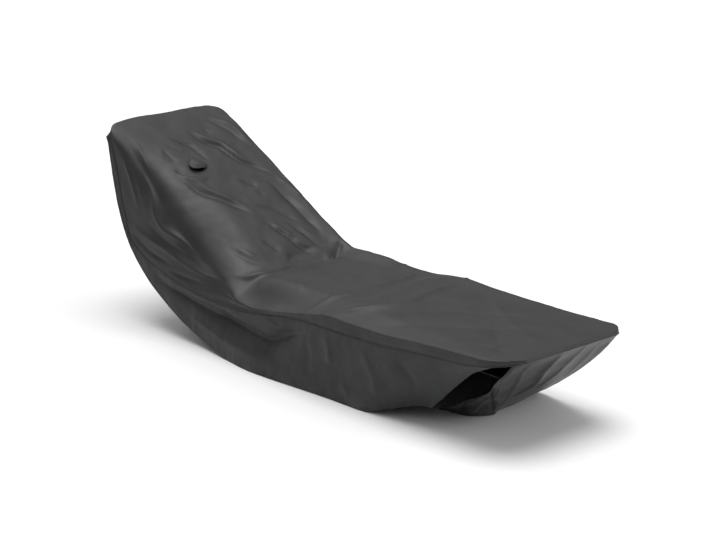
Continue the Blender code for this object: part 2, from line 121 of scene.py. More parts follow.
# The foot end panel in plan, (distance from foot, across), at shares of its drop and of the
# way from its far, raked edge to its near one. Its near edge is loose: lower down it turns
# round a fold and runs back under the leg.
END_COLUMNS = (0.45, 0.78, 0.85, 0.92, 1.00)
END_LEVELS = (
    (0.15, ((0.052, 0.060), (0.053, -0.140), (0.056, -0.175), (0.060, -0.210), (0.062, -0.236))),
    (0.33, ((0.115, 0.070), (0.117, -0.100), (0.122, -0.135), (0.128, -0.172), (0.134, -0.203))),
    (0.48, ((0.166, 0.080), (0.168, -0.068), (0.173, -0.100), (0.182, -0.130), (0.196, -0.153))),
    (0.66, ((0.229, 0.095), (0.229, -0.030), (0.232, -0.062), (0.252, -0.092), (0.290, -0.125))),
    (0.84, ((0.292, 0.110), (0.291, 0.006), (0.292, -0.024), (0.335, -0.068), (0.405, -0.108))),
    (1.00, ((0.370, 0.130), (0.364, 0.050), (0.348, 0.016), (0.407, -0.062), (0.515, -0.087))),
)

# The hood over the vent lies and faces as in the part; its size and form are its own
VENT_CENTRE = (1.924, -0.055)
VENT_HALF_SPAN = 0.034
VENT_CHORD = -0.028  # the line between the hood's two corners runs this far from the centre
VENT_BACK, VENT_FRONT = 0.014, 0.058  # how far it reaches uphill and downhill from that line
VENT_RISE = 0.015
VENT_SKEW = 0.45  # its lip reaches further out on one side
VENT_FACING = math.radians(48)  # its mouth turns from downhill towards the near side
VENT_BARE_ENDS = 0.22  # the hood stops short of its two pointed corners, in radians
VENT_CALM = 0.055  # the cloth lies smooth this far round its centre
VENT_STAND = 0.0017  # its foot stands this far over the middle of the top panel's cloth
VENT_BLUNT = 0.7  # a smaller power makes its outline blunter
VENT_PROFILE = ((0, 0.5, 1), (0, 1, 0.85))  # its height from its sewn edge to its lip
VENT_LINES = (41, 25, 5)  # of its mesh along the lip, out to it and over its border
SLOPE_STEP = 0.02  # run over which the slope of the top is measured

# Folds, each as the points that it follows, half its width and the height of its ridge,
# negative for a trough. Those of the top are in its flat measures, along and across.
TOP_FOLDS = (
    # the crease over the knee, the one beyond it and the swell between them
    (((0.98, -0.36), (0.9, -0.3), (0.81, -0.24), (0.76, -0.19), (0.725, -0.12),
      (0.715, -0.04), (0.74, 0.06), (0.77, 0.29), (0.8, 0.42)), 0.022, -0.013),
    (((1.01, -0.36), (0.99, -0.27), (0.955, -0.15), (0.94, -0.05), (0.94, 0.1),
      (0.965, 0.2), (1.08, 0.28), (1.16, 0.36)), 0.02, -0.012),
    (((0.92, -0.28), (0.85, -0.15), (0.82, 0.0), (0.84, 0.14), (0.88, 0.26)), 0.05, 0.007),
    # the rim that the seam allowance makes along the near edge
    (((-0.6, -0.294), (0.0, -0.294), (0.6, -0.296), (1.2, -0.303),
      (1.8, -0.305)), 0.013, 0.005),
    # the sag of the seat and the puffs over it
    (((1.31, -0.22), (1.3, -0.08), (1.29, 0.06), (1.3, 0.2)), 0.055, -0.004),
    (((1.43, -0.01), (1.458, 0.05), (1.462, 0.11), (1.445, 0.17)), 0.02, 0.013),
    (((1.385, 0.19), (1.42, 0.24), (1.455, 0.29)), 0.02, 0.013),
    (((1.43, 0.185), (1.4, 0.17), (1.38, 0.15)), 0.01, -0.005),
    # the deep fold along the near flank, the crest over it and the one that joins the seat
    (((2.16, -0.28), (1.98, -0.31), (1.82, -0.33), (1.66, -0.33),
      (1.48, -0.31)), 0.09, 0.016),
    (((2.02, -0.325), (1.955, -0.335), (1.905, -0.353), (1.867, -0.388), (1.822, -0.4),
      (1.777, -0.375), (1.713, -0.345), (1.6, -0.33)), 0.022, -0.011),
    (((1.96, -0.555), (1.9, -0.535), (1.85, -0.51), (1.76, -0.47), (1.64, -0.42),
      (1.55, -0.36), (1.5, -0.31)), 0.02, -0.006),
    (((1.93, -0.585), (1.86, -0.56), (1.78, -0.545), (1.7, -0.51)), 0.014, 0.006),
    (((1.72, -0.56), (1.64, -0.52), (1.56, -0.45)), 0.018, 0.006),
    (((1.9, -0.46), (1.8, -0.44), (1.7, -0.4), (1.6, -0.355)), 0.02, 0.005),
    (((1.6, -0.56), (1.48, -0.49), (1.36, -0.43), (1.22, -0.42)), 0.024, -0.004),
    (((1.5, -0.395), (1.4, -0.35), (1.3, -0.32)), 0.022, 0.004),
    (((2.1, -0.4), (2.02, -0.43), (1.93, -0.47)), 0.022, -0.006),
    (((1.99, -0.375), (1.945, -0.42)), 0.01, -0.004),
    (((2.12, -0.245), (2.045, -0.262), (1.985, -0.29)), 0.013, -0.0035),
    # folds that run from the far edge down across the backrest
    (((2.167, 0.186), (2.115, 0.246), (2.07, 0.267), (2.015, 0.273), (1.959, 0.301)), 0.013, -0.0101),
    (((2.163, 0.157), (2.105, 0.215), (2.06, 0.24), (1.992, 0.251)), 0.013, 0.0067),
    (((2.116, 0.026), (2.064, 0.055), (2.034, 0.077), (2.005, 0.121), (1.97, 0.135), (1.918, 0.156),
      (1.882, 0.201), (1.845, 0.229), (1.797, 0.278)), 0.013, 0.0135),
    (((2.126, 0.052), (2.072, 0.078), (2.045, 0.105), (2.01, 0.146), (1.97, 0.16), (1.92, 0.185),
      (1.867, 0.239)), 0.012, -0.0079),
    (((2.1, 0.115), (2.065, 0.142)), 0.01, 0.0031),
    (((2.097, -0.084), (2.052, -0.031), (2.03, -0.001), (1.988, 0.008),
      (1.927, 0.019)), 0.012, 0.0101),
    (((2.06, -0.118), (2.008, -0.072)), 0.009, 0.0028),
    (((2.045, -0.15), (2.001, -0.146), (1.96, -0.126)), 0.009, 0.0054),
    (((2.015, -0.174), (1.96, -0.144)), 0.009, 0.0028),
    (((1.945, -0.172), (1.91, -0.15), (1.87, -0.098)), 0.011, 0.0067),
    (((1.933, -0.182), (1.886, -0.14), (1.862, -0.092), (1.862, -0.042)), 0.01, -0.0079),
    (((1.915, -0.195), (1.865, -0.16), (1.814, -0.137), (1.778, -0.101), (1.74, -0.059),
      (1.7, -0.02), (1.646, 0.021)), 0.02, 0.0105),
    (((1.898, -0.163), (1.85, -0.115), (1.806, -0.095), (1.775, -0.062), (1.735, -0.02),
      (1.676, 0.026)), 0.014, -0.007),
    (((1.83, 0.062), (1.797, 0.118), (1.78, 0.138)), 0.011, 0.0071),
    (((1.758, 0.108), (1.735, 0.142)), 0.01, 0.003),
    (((1.812, 0.258), (1.737, 0.276), (1.658, 0.295)), 0.013, -0.0101),
    (((1.808, 0.201), (1.7, 0.225), (1.61, 0.236), (1.502, 0.241)), 0.026, 0.0112),
    (((1.702, 0.039), (1.661, 0.131), (1.626, 0.157), (1.573, 0.192)), 0.013, 0.009),
    (((1.623, 0.1), (1.572, 0.147), (1.534, 0.164), (1.48, 0.186), (1.453, 0.246)), 0.012, 0.0101),
    (((1.646, 0.026), (1.573, 0.063), (1.537, 0.082), (1.491, 0.099), (1.472, 0.135),
      (1.461, 0.196)), 0.012, 0.0112),
    (((1.61, 0.055), (1.56, 0.085), (1.515, 0.105)), 0.01, -0.0079),
    (((1.592, -0.205), (1.52, -0.183), (1.473, -0.159), (1.443, -0.092)), 0.014, 0.0056),
    (((1.57, -0.172), (1.52, -0.158), (1.478, -0.128)), 0.012, -0.0034),
    (((1.545, -0.055), (1.51, -0.015), (1.48, 0.0)), 0.014, 0.0079),
    (((1.493, -0.273), (1.425, -0.205), (1.402, -0.13), (1.4, -0.05),
      (1.376, 0.047)), 0.016, -0.0135),
    # soft tension lines of the leg rest
    (((0.68, -0.29), (0.5, -0.18), (0.3, -0.02), (0.16, 0.12)), 0.04, 0.004),
    (((0.62, 0.28), (0.45, 0.14), (0.28, 0.04), (0.12, -0.02)), 0.036, -0.0036),
    (((0.04, -0.26), (0.18, -0.14), (0.38, 0.06), (0.46, 0.2)), 0.028, 0.0034),
    (((0.66, -0.1), (0.52, 0.02), (0.36, 0.12), (0.2, 0.22)), 0.024, 0.003),
    (((0.1, 0.24), (0.24, 0.16), (0.4, 0.14)), 0.022, -0.0026),
    (((0.3, -0.24), (0.22, -0.18), (0.1, -0.16)), 0.02, -0.0026),
    (((0.66, 0.12), (0.6, 0.0), (0.62, -0.14)), 0.02, 0.0028),
    (((1.24, 0.26), (1.12, 0.12), (1.03, -0.04), (0.99, -0.16)), 0.028, 0.0036),
    (((1.12, -0.24), (1.19, -0.08), (1.19, 0.12)), 0.026, -0.0036),
    (((0.88, -0.22), (0.84, -0.06), (0.86, 0.12), (0.9, 0.24)), 0.022, -0.0036),
)
# Those of the side panels are in distance from the foot and height
NEAR_FOLDS = (
    (((1.95, 0.235), (1.75, 0.188), (1.58, 0.178), (1.4, 0.148), (1.3, 0.137), (1.2, 0.13),
      (1.11, 0.168), (1.01, 0.215), (0.93, 0.25)), 0.05, -0.03),
    (((0.87, 0.25), (0.84, 0.12)), 0.025, 0.006),
    (((1.22, 0.215), (1.14, 0.2), (1.06, 0.232)), 0.016, 0.006),
    (((1.7, 0.115), (1.45, 0.075), (1.22, 0.06)), 0.03, 0.005),
    (((0.7, 0.24), (0.62, 0.14), (0.6, 0.06)), 0.03, 0.005),
    (((0.52, 0.255), (0.45, 0.19), (0.42, 0.14)), 0.026, -0.005),
    (((0.98, 0.2), (0.96, 0.12), (0.98, 0.04)), 0.03, -0.004),
    (((0.8, 0.1), (0.76, 0.05), (0.75, 0.01)), 0.02, 0.004),
)
FAR_FOLDS = (
    (((2.0, 0.42), (1.85, 0.3), (1.7, 0.23), (1.5, 0.18)), 0.045, -0.012),
    (((1.9, 0.26), (1.7, 0.15), (1.45, 0.1)), 0.035, 0.007),
    (((1.3, 0.2), (1.22, 0.12), (1.2, 0.04)), 0.03, -0.006),
    (((1.0, 0.24), (0.96, 0.14), (0.98, 0.05)), 0.032, 0.006),
    (((0.72, 0.25), (0.66, 0.15), (0.68, 0.05)), 0.03, -0.005),
    (((0.45, 0.27), (0.42, 0.18), (0.46, 0.09)), 0.028, 0.005),
)
# Those of the foot end and the head back are in shares: across from 0 to 1, down from 0 to 1
END_FOLDS = (
    # the sharp fold from the foot seam to the hem, the strip beside it, the soft ridges
    (((0.89, -0.2), (0.872, 0.0), (0.785, 0.17), (0.792, 0.35), (0.794, 0.6), (0.8, 0.85),
      (0.77, 1.15)), 0.012, 0.007),
    (((0.98, -0.05), (0.96, 0.17), (0.925, 0.42), (0.91, 0.65), (0.88, 0.9)), 0.014, 0.0045),
    (((0.6, -0.15), (0.56, 0.15), (0.57, 0.3), (0.545, 0.52), (0.66, 0.65),
      (0.79, 0.78)), 0.055, 0.011),
    (((0.36, -0.1), (0.34, 0.4), (0.42, 0.85)), 0.05, 0.006),
    (((0.17, 0.0), (0.14, 0.42), (0.08, 0.8)), 0.045, 0.005),
    # the slot over the hem and the creases of the loose flap
    (((0.18, 0.92), (0.32, 0.95), (0.44, 0.96), (0.62, 0.94), (0.79, 0.92)), 0.022, -0.008),
    (((1.0, 0.3), (0.975, 0.5), (0.9, 0.7), (0.869, 0.85), (0.845, 1.2)), 0.009, -0.01),
    (((1.01, 0.62), (0.996, 0.75), (0.963, 0.87), (0.93, 1.05)), 0.01, -0.008),
    (((0.97, 0.55), (0.94, 0.75), (0.9, 1.1)), 0.014, 0.006),
)
BACK_FOLDS = (
    (((0.22, 0.03), (0.26, 0.4), (0.2, 0.8)), 0.06, -0.01),
    (((0.48, 0.02), (0.45, 0.35), (0.5, 0.75)), 0.07, 0.01),
    (((0.76, 0.03), (0.72, 0.4), (0.78, 0.85)), 0.06, -0.01),
    (((0.36, 0.3), (0.5, 0.45), (0.66, 0.55)), 0.05, -0.006),
    (((0.1, 0.15), (0.14, 0.5), (0.12, 0.9)), 0.035, 0.006),
    (((0.9, 0.15), (0.86, 0.5), (0.88, 0.9)), 0.035, 0.006),
)
FOLD_END = 0.30  # share of a fold's length in which it dies out at each end,
FOLD_TIP = 0.35  # where it narrows to this share of its width
FOLD_CREST = 0.5  # how round its ridge is; a smaller value makes it sharper
FOLD_POINTS = 29  # points of the line that a fold follows
SIDE_CALM = 4  # folds of a side panel grow over one part in so many of its drop,
END_CALM = (12, 8, 12)  # those of the foot end so at the rake, the hem and the seam,
BACK_CALM = 10  # and those of the head back at all its edges
HULL_OVERLAP = 0.01  # the head back panel reaches this far past BACK_END

# ---- sizes of the cloth
THICK = 0.0012  # how thick the shown cloth is
LEG_PITCH, BACK_PITCH, ACROSS_PITCH = 0.0100, 0.0064, 0.0078  # spacing of the mesh
BACK_START = 1.36  # the backrest's finer rows start here
HUNG_STEPS = 8  # rows of mesh in the turned-down ends of the top
NEAR_HUNG_STEPS, FAR_HUNG_STEPS = 34, 18  # and columns in its turned-down sides
DROP_STEPS = 40  # columns of a side panel, from its seam to its hem
CRUMPLE = ((0.090, 0.0023), (0.036, 0.0009))  # size and height of the lumps of worn cloth
SEAM_LINES = (0.0, 0.0010, 0.0022, 0.0036, 0.0054, 0.0074, 0.0098, 0.0122)
HEM_LINES = (0.0, 0.0054, 0.0098, 0.0135, 0.0162, 0.0180, 0.0198, 0.0230)
LINES_REACH = 0.060  # past this distance from an edge the mesh keeps its own spacing
LIP, LIP_DROP = 0.0036, 0.0030  # a seamed edge is rounded over this width, this far in
SEAM_STITCHES = (0.0054, 0.0098)  # distances of a felled seam's rows of stitches from its edge
FELL_RISE = 0.0008  # it is this much thicker up to the second row
STITCH_SINK = 0.0004
HEM, HEM_RISE = 0.0180, 0.0007  # depth of the hem, and how far its second layer lifts it
HEM_RADIUS = 0.0012  # of the turn at its edge
FREE_RADIUS = 0.0021  # the same along the free edges of the open corner
TURN_STEPS = 6
FLOOR_GAP = 0.0002
PUCKER, PUCKER_SIZE, PUCKER_REACH = 0.0011, 0.024, 0.035  # small gathers along the seams
STITCH_PITCH, STITCH_LENGTH, STITCH_WIDTH = 0.0060, 0.0040, 0.0008
STITCH_POINTS = 10  # two tips and two rings of four
VENT_FLANGE = 0.006  # the hood's sewn border
VENT_HOLE = 0.026  # radius of the hole under it

# ---- colours
CLOTH_DARK, CLOTH_LIGHT = (0.0160, 0.0163, 0.0171, 1), (0.0215, 0.0220, 0.0228, 1)
# a paler tone that the cloth takes in patches towards the floor
PALE_LOW_TONE = (0.115, 0.112, 0.108, 1)
COATING = (0.012, 0.012, 0.013, 1)
THREAD = (0.085, 0.086, 0.092, 1)
YARN = 0.0011  # pitch of the weave
YARN_DEPTH = 0.00016
YARN_ROUND = 0.35  # a smaller power makes the yarns squarer
CLOTH_ROUGHNESS = (0.44, 0.54)
CLOTH_IOR = 1.33
SHEEN, SHEEN_ROUGHNESS = 0.10, 0.40
MOTTLE_SCALE, SLUB_SCALE, PALE_LOW_SCALE, SHINE_SCALE = 3.2, 420.0, 14.0, 6.0  # lumps a metre
NOISE_MIDDLE = (0.35, 0.65)  # the part of a noise that is spread over its whole range
SLUB_SHARE = 0.22  # how far single yarns lighten the cloth
PALE_LOW_HEIGHT, PALE_LOW_SHARE = 0.07, 0.35  # the cloth turns paler in patches below this height, by at most this share at the floor
SOFT_SCALE, SOFT_DEPTH, SOFT_STRENGTH = 16.0, 0.004, 0.45  # the cloth's soft unevenness
CREASE_SCALE, CREASE_DEPTH, CREASE_STRENGTH = 9.0, 0.0006, 0.40  # its fine creases,
CREASE_WARP, CREASE_WIDTH = 6.0, 0.06  # scale of the noise that bends them, and their width
WEAVE_STRENGTH = 0.5
COATING_SCALE, COATING_GRIT = 9.0, 60.0
FLOOR_GREY, FLOOR_ROUGHNESS = (0.75, 0.75, 0.75, 1), 0.85

# ---- light and camera
SKY_RISE, SKY_STRENGTH = (0.15, 0.75), (0.24, 0.58)  # the sky brightens between these heights
SUN_WIDTH = math.radians(42)
SUNS = (  # name, strength and where it shines from
    ("overhead", 2.5, (-0.2, 0.0, 3.0)),
    ("foot_side", 1.1, (2.2, 1.6, 1.3)),
    ("head_side", 0.4, (-2.2, 0.4, 2.1)),
)
AZIMUTH, ELEVATION = math.radians(48.05), math.radians(16.63)
DISTANCE = 7.355
TARGET = (0.079, MIDDLE_SHIFT, 0.377)
FOCAL_PIXELS, IMAGE_WIDTH = 2000, 716


# ---- shape of it
def through(values, xs, ys):
    """A smooth curve through the points (xs, ys) that never overshoots them."""
    xs, ys = np.asarray(xs, float), np.asarray(ys, float)
    rise = np.diff(ys) / np.diff(xs)
    slope = np.concatenate([rise[:1], np.zeros(len(xs) - 2), rise[-1:]])
    before, after = rise[:-1], rise[1:]
    same = before * after > 0
    slope[1:-1][same] = 2 * before[same] * after[same] / (before[same] + after[same])
    i = np.clip(np.searchsorted(xs, values, side="right") - 1, 0, len(xs) - 2)
    width = xs[i + 1] - xs[i]
    t = np.clip((values - xs[i]) / width, 0, 1)
    start = (1 + 2 * t) * (1 - t) ** 2 * ys[i] + t * (1 - t) ** 2 * width * slope[i]
    end = t * t * (3 - 2 * t) * ys[i + 1] + t * t * (t - 1) * width * slope[i + 1]
    return start + end


def section(name, station):
    """One column of SECTIONS at any distance from the foot."""
    table = np.array(SECTIONS)
    return through(station, table[:, 0], table[:, COLUMNS.index(name)])


def fade(share):
    """1 at 0, easing to 0 at 1 and beyond."""
    share = np.clip(share, 0, 1)
    return (1 - share) ** 2 * (1 + 2 * share)


def half_width(station):
    """The cover narrows towards the head."""
    widths = (HALF_WIDTH, HALF_WIDTH, BACK_HALF_WIDTH, HEAD_HALF_WIDTH)
    return through(station, (0, 1.3, 1.7, LENGTH), widths)


def to_world(s, y, z):
    return np.stack(np.broadcast_arrays(LENGTH / 2 - s, y + MIDDLE_SHIFT, z), axis=-1)


def station_of(points):
    return LENGTH / 2 - points[..., 0]


def across_of(points):
    return points[..., 1] - MIDDLE_SHIFT


def normals(grid):
    """Unit normals of a grid of points, on the side that faces out of the cover."""
    normal = np.cross(np.gradient(grid, axis=0), np.gradient(grid, axis=1))
    return normal / np.maximum(np.linalg.norm(normal, axis=2, keepdims=True), 1e-9)


def unit(vectors):
    return vectors / np.maximum(np.linalg.norm(vectors, axis=-1, keepdims=True), 1e-9)


def runs(grid):
    """Distance along each row of a grid from its first column."""
    steps = np.linalg.norm(np.diff(grid, axis=1), axis=2)
    return np.concatenate([np.zeros((len(grid), 1)), np.cumsum(steps, axis=1)], axis=1)


def fold_heights(folds, u, v):
    """Sum of ridges and troughs that die out at both ends of their paths."""
    height = np.zeros_like(u)
    keys = np.linspace(0, 1, FOLD_POINTS)
    for path, half, peak in folds:
        path = np.array(path)
        knots = np.linspace(0, 1, len(path))
        line = np.stack([through(keys, knots, path[:, 0]), through(keys, knots, path[:, 1])], axis=1)
        low, high = line.min(axis=0) - 3 * half, line.max(axis=0) + 3 * half
        inside = (u > low[0]) & (u < high[0]) & (v > low[1]) & (v < high[1])
        point = np.stack([u[inside], v[inside]], axis=1)[:, None]
        start, run = line[:-1], np.diff(line, axis=0)
        t = np.clip(((point - start) * run).sum(axis=2) / (run * run).sum(axis=1), 0, 1)
        gap = np.linalg.norm(point - start - t[..., None] * run, axis=2)
        nearest = gap.argmin(axis=1)
        each = np.arange(len(nearest))
        share = (nearest + t[each, nearest]) / len(run)
        ends = fade(1 - np.minimum(share, 1 - share) / FOLD_END)
        away = gap[each, nearest] / half / (FOLD_TIP + (1 - FOLD_TIP) * ends)
        height[inside] += peak * np.exp(FOLD_CREST - np.hypot(FOLD_CREST, 2 * away)) * ends
    return height


def lumps(grid, size, seed):
    """Soft noise over the points of a grid, with lumps of about the given size."""
    flat = [noise.noise(Vector(point)) for point in (grid / size + seed).reshape(-1, 3)]
    return np.array(flat).reshape(grid.shape[:2])


def crumple(grid, seed):
    return sum(height * lumps(grid, size, seed) for size, height in CRUMPLE)


def outward(grid, height):
    return grid + normals(grid) * height[..., None]


def roll(share, station):
    """The slope down to the near edge: on the backrest it rolls over the edge, and towards
    the foot it levels out again before it."""
    level = fade((station - ROLL_START) / ROLL_EASE)
    share = np.clip(share, 0, 1)
    return (1 - share) ** 2 * (1 + 2 * share * level)


def soften_crest(grid, rows, across):
    """The grid with the near edge of the backrest rounded."""
    weight = (1 - fade((rows - CREST_START) / CREST_EASE))[:, None, None]
    reach = np.exp(-(((across + HALF_WIDTH) / CREST_REACH) ** 4))[None, :, None]
    blur = np.exp(-(((across[:, None] - across) / CREST_BLUR) ** 2) / 2) * np.gradient(across)
    blur /= blur.sum(axis=1, keepdims=True)
    return grid + weight * reach * (np.einsum("jk,ikc->ijc", blur, grid) - grid)


def top_grid(rows, across):
    """The top panel, with the station of each of its points."""
    a, b = np.meshgrid(rows, across, indexing="ij")
    at_foot = a < LENGTH / 2
    radius = np.where(at_foot, np.where(b < 0, NEAR_FOOT_RADIUS, FAR_FOOT_RADIUS), HEAD_RADIUS)
    from_end = np.where(at_foot, a, LENGTH - a)
    from_side = HALF_WIDTH - np.abs(b)
    # p and q are 0 where a corner's arc starts and 1 on the outline
    p = np.maximum(1 - from_end / radius, 0)
    q = np.maximum(1 - from_side / radius, 0)
    reach = np.maximum(np.maximum(p, q), 1)
    over = (reach - 1) * radius / SKIRT
    p, q = p / reach, q / reach
    from_end = np.where(p > 0, radius * (1 - p * np.sqrt(1 - q * q / 2)), from_end)
    from_side = np.where(q > 0, radius * (1 - q * np.sqrt(1 - p * p / 2)), from_side)
    sideways = 1 - fade((q - p + 1) / 2)
    s = np.where(at_foot, from_end, LENGTH - from_end)
    side = np.sign(b)
    nominal = side * (HALF_WIDTH - from_side)

    half = half_width(s)
    inset = section("inset", s) * np.where(b < 0, 1, FAR_INSET_SHARE)
    y = nominal * (half - inset) / HALF_WIDTH
    top = section("top", s)
    near = (section("near", s) - top) * roll((HALF_WIDTH + nominal) / section("fall", s), s)
    far = (section("far", s) - top) * fade((HALF_WIDTH - nominal) / FAR_FALL)
    z = top + near + far

    end_drop = np.where(at_foot, FOOT_TURNDOWN, HEAD_TURNDOWN)
    drop = sideways * (z - section("seam_z", s)) + (1 - sideways) * end_drop
    s_hung = s + over * sideways * (section("seam_s", s) - s)
    y_hung = y + over * sideways * side * (half_width(s_hung) - half + inset)
    s_hung = s_hung - over * (1 - sideways) * at_foot * FOOT_SPREAD
    grid = soften_crest(to_world(s_hung, y_hung, z - over * drop), rows, across)
    calm = 1 - np.exp(-((np.hypot(*vent_offset(grid)) / VENT_CALM) ** 4))
    return outward(grid, (fold_heights(TOP_FOLDS, a, b) + crumple(grid, 1)) * calm), s


def hem_line(station, side):
    """Where the bottom edge of a side panel runs, from the station of the edge above it."""
    s = section("hem_s", station)
    z = np.maximum(section("hem_z", station), FLOOR_GAP)
    if side > 0:
        z = z + RAKE_LIFT * fade((s - RAKE_START) / (RAKE_END - RAKE_START))
        return to_world(s, half_width(s) + HEM_FLARE, z)
    loose = fade(1 - (OPEN_CORNER - s) / OPEN_RUN)
    y = OPEN_SWING * loose - half_width(s) - through(s, *NEAR_FLARE)
    return to_world(s, y, z + OPEN_LIFT * loose)


def side_grid(top, stations, rows, drop, side):
    """A crescent between the top panel's seam and the hem, with its rows' stations."""
    column = 0 if side < 0 else -1
    sewn = rows > (NEAR_FREE if side < 0 else -LENGTH)
    seam, edge = top[sewn, column], stations[sewn, column]
    share = drop[None, :, None]
    grid = seam[:, None] * (1 - share) + hem_line(edge, side)[:, None] * share
    ends = np.clip(np.minimum(drop, 1 - drop) * SIDE_CALM, 0, 1)
    if side > 0:
        belly = RAKE_BELLY * fade(edge / RAKE_START)
        grid[..., 0] += belly[:, None] * 4 * drop * (1 - drop)
        folds = FAR_FOLDS
    else:
        folds = NEAR_FOLDS
    grid[..., 1] += side * fold_heights(folds, station_of(grid), grid[..., 2]) * ends
    if side < 0:
        bow = OPEN_BOW * fade((edge - edge[0]) / BOW_REACH)
        grid[..., 0] -= bow[:, None] * through(drop, *BOW_SHAPE)
    grid[..., 1] += side * crumple(grid, 2) * ends
    return grid, edge


def end_grid(top, rake, across, drop):
    """The foot end panel, from the foot seam down to the floor."""
    seam = top[0, across > END_FREE][::-1]
    column = runs(seam[None])[0]
    column = column / column[-1]
    keys = [0.0] + [level[0] for level in END_LEVELS]
    s_levels = [station_of(seam)]
    y_levels = [across_of(seam)]
    for level, points in END_LEVELS:
        s_points, y_points = np.array(points).T
        s_rake = through(level, drop, station_of(rake))
        y_rake = through(level, drop, across_of(rake))
        s_levels.append(through(column, (0, *END_COLUMNS), (s_rake, *s_points)))
        y_levels.append(through(column, (0, *END_COLUMNS), (y_rake, *y_points)))
    s = np.array([through(drop, keys, line) for line in np.array(s_levels).T])
    y = np.array([through(drop, keys, line) for line in np.array(y_levels).T])
    bottom = np.maximum(rake[-1, 2] * fade(column / RAKE_SETTLE), FLOOR_GAP)
    z = seam[:, 2:] * (1 - drop) + bottom[:, None] * drop
    grid = to_world(s, y, z)
    grid[0] = rake
    u, v = np.meshgrid(column, drop, indexing="ij")
    at_rake, at_hem, at_seam = END_CALM
    inner = np.clip(np.minimum(u * at_rake, (1 - v) * at_hem), 0, 1) * np.clip(v * at_seam, 0, 1)
    return outward(grid, (fold_heights(END_FOLDS, u, v) + crumple(grid, 3)) * inner)


def back_grid(top, near, far, near_edge, far_edge):
    """The head back panel, from the head seam down and under along both hull edges."""
    seam = top[-1]
    share = runs(seam[None])[0]
    share = share / share[-1]
    near_hem = near[near_edge > BACK_END - HULL_OVERLAP][::-1, -1]
    far_hem = far[far_edge > BACK_END - HULL_OVERLAP][::-1, -1]
    rows = [seam]
    for near_point, far_point in zip(near_hem, far_hem):
        rows.append(near_point * (1 - share[:, None]) + far_point * share[:, None])
    grid = np.array(rows)
    down = np.linspace(0, 1, len(grid))
    v, u = np.meshgrid(down, share, indexing="ij")
    inner = 1
    for way in (u, v):
        inner = inner * np.clip(np.minimum(way, 1 - way) * BACK_CALM, 0, 1)
    return outward(grid, (fold_heights(BACK_FOLDS, u, v) + crumple(grid, 4)) * inner)


# ---- edges of a sheet
def oriented(array, edge):
    """An array of a grid turned so that the named edge is its first column."""
    if edge in ("first_row", "last_row"):
        array = np.swapaxes(array, 0, 1)
    return array[:, ::-1] if edge.startswith("last") else array


def turned_back(array, edge):
    """Undoes oriented()."""
    array = array[:, ::-1] if edge.startswith("last") else array
    return np.swapaxes(array, 0, 1) if edge in ("first_row", "last_row") else array


def refined(grid, lines):
    """The grid with more columns close to its first one, at these distances from it."""
    run = runs(grid)
    squeeze = np.minimum(1, 0.4 * run[:, -1:] / lines[-1])
    extra = np.array(lines) * squeeze
    rest = run + extra[:, -1:] * fade(run / (LINES_REACH * squeeze))
    places = np.concatenate([extra, rest[:, 1:]], axis=1)
    return np.array([
        np.stack([np.interp(place, way, axis) for axis in line.T], axis=1)
        for place, way, line in zip(places, run, grid)
    ])


def seam_relief(distance, felled):
    """A rounded edge, and where it is felled a raised band with two rows of stitches."""
    inside = np.clip(1 - distance / LIP, 0, 1)
    height = -LIP_DROP * (1 - np.sqrt(1 - inside ** 2))
    if felled:
        height = height + FELL_RISE * fade((distance - SEAM_STITCHES[1]) / STITCH_PITCH)
        for line in SEAM_STITCHES:
            height = height - STITCH_SINK * np.exp(-(((distance - line) / STITCH_WIDTH) ** 2) / 2)
    return height


def hem_relief(distance):
    """The double layer along a hem, drawn in at its stitches."""
    height = HEM_RISE * fade((distance - HEM) / STITCH_PITCH)
    return height - STITCH_SINK * np.exp(-(((distance - HEM) / STITCH_WIDTH) ** 2) / 2)


def puckers(grid, distance):
    """Small gathers square to an edge, from its first column."""
    along = lumps(grid[:, :1], PUCKER_SIZE, 9)
    fading = np.exp(-((distance / PUCKER_REACH) ** 2))
    return PUCKER * along * np.clip(distance / LIP, 0, 1) * fading


def turned_under(grid, normal, radius):
    """A grid and its outer normals with the first column's edge folded under, round a turn
    of this radius and back by the depth of the hem."""
    gap = np.linalg.norm(grid[:, 1] - grid[:, 0], axis=1, keepdims=True)
    radius = radius * np.minimum(1, gap / HEM_LINES[1])
    out = unit(grid[:, 0] - grid[:, 1])
    start = grid[:, 0] - out * (radius + THICK / 2)
    turn = [
        start + radius * (math.sin(angle) * out - (1 - math.cos(angle)) * normal[:, 0])
        for angle in np.linspace(math.pi, 0, TURN_STEPS)
    ]
    inner = slice(len(HEM_LINES) - 1, 0, -1)
    layer = grid[:, inner] - 2 * radius[:, None] * normal[:, inner]
    turned = np.stack(turn, axis=1)
    first = np.repeat(normal[:, :1], TURN_STEPS, axis=1)
    grid = np.concatenate([layer, turned, grid[:, 1:]], axis=1)
    return grid, np.concatenate([normal[:, inner], first, normal[:, 1:]], axis=1)


